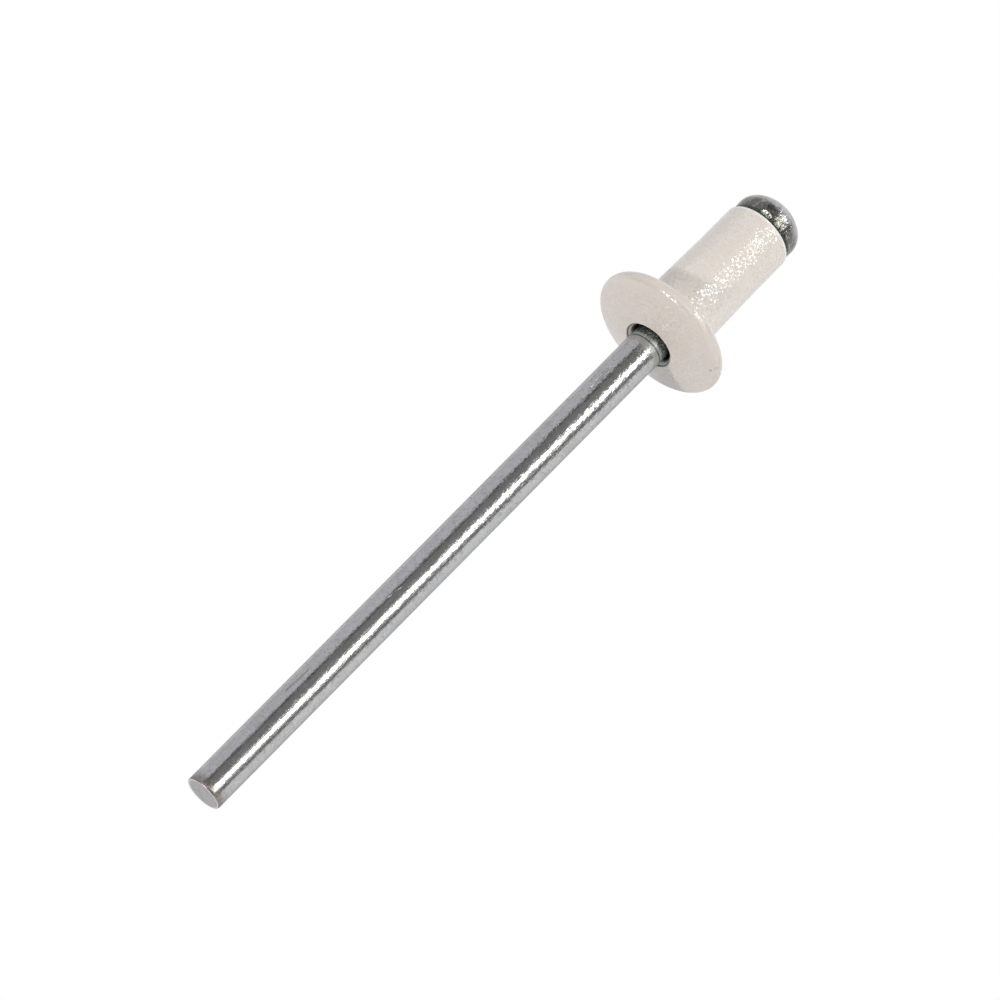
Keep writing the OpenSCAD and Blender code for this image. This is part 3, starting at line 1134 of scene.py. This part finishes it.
card_corners = [(CARD_LEFT, CARD_Y, 0), (CARD_RIGHT, CARD_Y, 0),
                (CARD_RIGHT, CARD_Y, CARD_HIGH), (CARD_LEFT, CARD_Y, CARD_HIGH)]
card_mesh = bpy.data.meshes.new("dark card")
card_mesh.from_pydata([Vector(c) * MM for c in card_corners], [], [(0, 1, 2, 3)])
card = bpy.data.objects.new("dark card", card_mesh)
bpy.context.scene.collection.objects.link(card)
card.visible_camera = False
card_grey, tree = new_material("dark card")
finish_material(card_grey, add(tree, "ShaderNodeBsdfDiffuse", {"Color": CARD_COLOUR}))
card_mesh.materials.append(card_grey)

# %% [markdown]
# ## Walls and ceiling
#
# Walls could be modelled as planes round the rivet. The world's shader is simpler: it starts
# with one grey level for all directions, and a list then dims or lifts parts of it, such as
# the dark ceiling that gives the wire its dark strip. Each part is a band between two angles,
# in degrees. The camera itself sees plain white.

# %% World directions
world = bpy.data.worlds.new("studio")
bpy.context.scene.world = world
world.use_nodes = True
tree = world.node_tree
tree.nodes.clear()
towards = add(tree, "ShaderNodeTexCoord").outputs["Generated"]


def part(axis):
    """The world direction's component along an axis."""
    return vectors(tree, "DOT_PRODUCT", towards, tuple(axis))


def band(value, start, end, soft):
    """1 between start and end, with soft edges."""
    rise = ramp(tree, value, start - soft / 2, start + soft / 2)
    fall = ramp(tree, value, end - soft / 2, end + soft / 2, 1.0, 0.0)
    return product(tree, rise, fall)


def times(level, mask, factor):
    """Multiplies the level by a factor where the mask is 1."""
    change = product(tree, mask, factor - 1)
    return product(tree, level, maths(tree, "ADD", change, 1.0))


angle = maths(tree, "DEGREES", maths(tree, "ARCTAN2", part(LEFT), part(NEAR)))
lean = maths(tree, "DEGREES", maths(tree, "ARCSINE", part(AXIS)))
seen_by_wire = band(lean, 13, 60, 14)
ceiling = product(tree, band(angle, -9, 45, 4), seen_by_wire)
edge_of_ceiling = band(angle, 33, 45, 4)
gap = product(tree, band(angle, -72, -43, 8), seen_by_wire)
tip_side = band(lean, -95, -22, 14)
square_on = product(tree, band(lean, -22, 13, 14), band(angle, -80, 62, 16))
head_side = band(lean, 62, 95, 20)
print("world so far:", len(tree.nodes), "nodes")

# %% World levels and colours
WALLS = 0.65
WALL_TINT = (0.96, 0.95, 1.0)
CEILING_TINT = (1.0, 0.99, 0.95)
TIP_SIDE_TINT = (0.88, 0.80, 1.0)
LEVELS = [(ceiling, 0.34), (edge_of_ceiling, 0.36), (gap, 0.38), (tip_side, 0.05),
          (square_on, 1.45), (head_side, 1.5)]

level = WALLS
for mask, factor in LEVELS:
    level = times(level, mask, factor)
tint = mix_colour(tree, ceiling, WALL_TINT, CEILING_TINT)
tint = mix_colour(tree, tip_side, tint, TIP_SIDE_TINT)
walls = add(tree, "ShaderNodeBackground", {"Color": tint, "Strength": level})
backdrop = add(tree, "ShaderNodeBackground", {"Color": WHITE, "Strength": 1.0})
camera_ray = add(tree, "ShaderNodeLightPath").outputs["Is Camera Ray"]
blend = add(tree, "ShaderNodeMixShader",
            {0: camera_ray, 1: walls.outputs[0], 2: backdrop.outputs[0]})
world_output = tree.nodes.new("ShaderNodeOutputWorld")
tree.links.new(blend.outputs[0], world_output.inputs["Surface"])
print("world:", len(tree.nodes), "nodes")

# %% [markdown]
# ## Camera
#
# The photograph was taken from above the stem's side, far away, with a long lens. The lens
# could be guessed by eye, but here it follows from measured lengths in the photograph. The
# view's centre is a point of the wire 12 mm in front of the flange's seat, moved a tenth of a
# millimetre to the right and down so that the outlines meet.

# %% Camera
CAMERA_AIM_ALONG = -12.095
CAMERA_RIGHTWARDS = 0.1116
CAMERA_UPWARDS = -0.1107
CAMERA_DISTANCE = 0.663
LENS = 546.7
SENSOR = 36

camera_right = Vector((0.6146, -0.7888, 0)).normalized()
camera_up = CAMERA_SIDE.cross(camera_right).normalized()
if camera_up.z < 0:
    camera_up = -camera_up
aim = SEAT + AXIS * CAMERA_AIM_ALONG * MM
aim = aim + camera_right * CAMERA_RIGHTWARDS * MM + camera_up * CAMERA_UPWARDS * MM
lens = bpy.data.cameras.new("camera")
lens.lens = LENS
lens.sensor_width = SENSOR
lens.clip_start = 0.01
lens.clip_end = 20
camera = bpy.data.objects.new("camera", lens)
bpy.context.scene.collection.objects.link(camera)
camera.location = aim + CAMERA_SIDE * CAMERA_DISTANCE
camera.rotation_euler = CAMERA_SIDE.to_track_quat("Z", "Y").to_euler()
bpy.context.scene.camera = camera
bpy.context.scene.view_settings.view_transform = "Standard"
print("camera at", [round(v, 4) for v in camera.location])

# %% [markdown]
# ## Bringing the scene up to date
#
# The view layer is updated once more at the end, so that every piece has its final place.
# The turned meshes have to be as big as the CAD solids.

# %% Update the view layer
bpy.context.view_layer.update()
